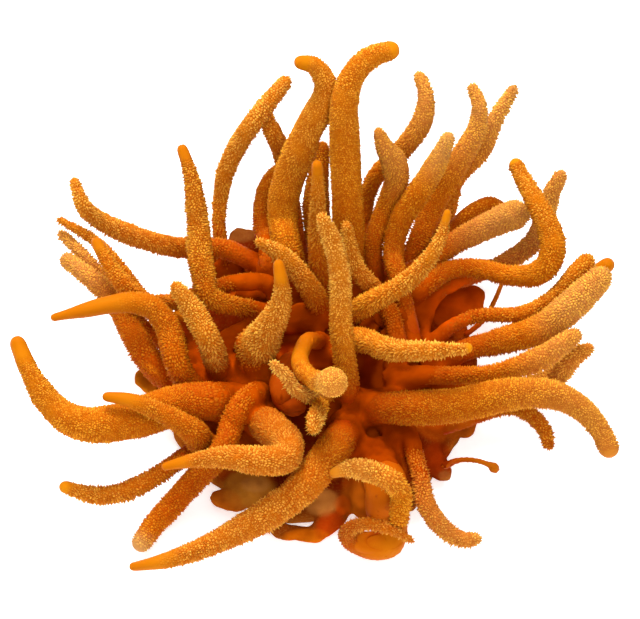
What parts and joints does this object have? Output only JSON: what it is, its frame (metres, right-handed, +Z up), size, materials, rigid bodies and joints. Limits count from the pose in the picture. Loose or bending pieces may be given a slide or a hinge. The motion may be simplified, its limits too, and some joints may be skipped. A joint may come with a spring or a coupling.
{
  "type": "cordyceps bunch",
  "caption": "Bunch of cultivated cordyceps: orange, granular, tapering fingers that curve out in all directions from one lumpy pad with a flat cut base.",
  "frame": {"origin": "middle of the pad's flat cut face, in the plane that the bunch rests on", "axes": "+Z up out of the cut face through the pad, +X to the right and -Y towards the front of the bunch, the side where a finger curls into a ring near the table"},
  "size_m": [0.0905, 0.0744, 0.0483],
  "materials": {
    "finger_flesh": "matte, granular, bright orange fungus flesh",
    "pad_flesh": "matte, deep orange to tan fungus flesh"
  },
  "bodies": {
    "root": {"finger_back_bulge": "finger_flesh", "finger_back_dark": "finger_flesh", "finger_back_hook": "finger_flesh", "finger_back_left_short": "finger_flesh", "finger_back_left_tall": "finger_flesh", "finger_back_right_blunt": "finger_flesh", "finger_back_right_claw": "finger_flesh", "finger_back_right_far": "finger_flesh", "finger_back_right_leaf": "finger_flesh", "finger_back_right_low": "finger_flesh", "finger_back_right_tall": "finger_flesh", "finger_back_right_thick": "finger_flesh", "finger_back_tall": "finger_flesh", "finger_crown_club": "finger_flesh", "finger_crown_dark_bow": "finger_flesh", "finger_crown_fork_lower": "finger_flesh", "finger_crown_fork_upper": "finger_flesh", "finger_crown_left_blunt": "finger_flesh", "finger_crown_nub": "finger_flesh", "finger_crown_right": "finger_flesh", "finger_crown_right_up": "finger_flesh", "finger_crown_spindle": "finger_flesh", "finger_crown_tall": "finger_flesh", "finger_crown_to_viewer": "finger_flesh", "finger_front_arch": "finger_flesh", "finger_front_curl": "finger_flesh", "finger_front_elbow": "finger_flesh", "finger_front_left_horn": "finger_flesh", "finger_front_left_knob": "finger_flesh", "finger_front_left_low": "finger_flesh", "finger_front_right": "finger_flesh", "finger_front_spear": "finger_flesh", "finger_left_boomerang": "finger_flesh", "finger_left_cone": "finger_flesh", "finger_left_far": "finger_flesh", "finger_left_long": "finger_flesh", "finger_left_needle": "finger_flesh", "finger_left_orange": "finger_flesh", "finger_left_thick": "finger_flesh", "finger_left_twin": "finger_flesh", "finger_left_upright": "finger_flesh", "finger_rear_left": "finger_flesh", "finger_rear_low_left": "finger_flesh", "finger_rear_low_middle": "finger_flesh", "finger_rear_middle": "finger_flesh", "finger_rear_right": "finger_flesh", "finger_right_arm": "finger_flesh", "finger_right_behind_arm": "finger_flesh", "finger_right_behind_crook": "finger_flesh", "finger_right_crook": "finger_flesh", "finger_right_middle": "finger_flesh", "finger_right_smooth_tip": "finger_flesh", "finger_right_thick": "finger_flesh", "finger_right_under_arm": "finger_flesh", "finger_right_upper": "finger_flesh", "pad": "pad_flesh", "thread_right_high": "finger_flesh", "thread_right_low": "finger_flesh"}
  },
  "joints": []
}
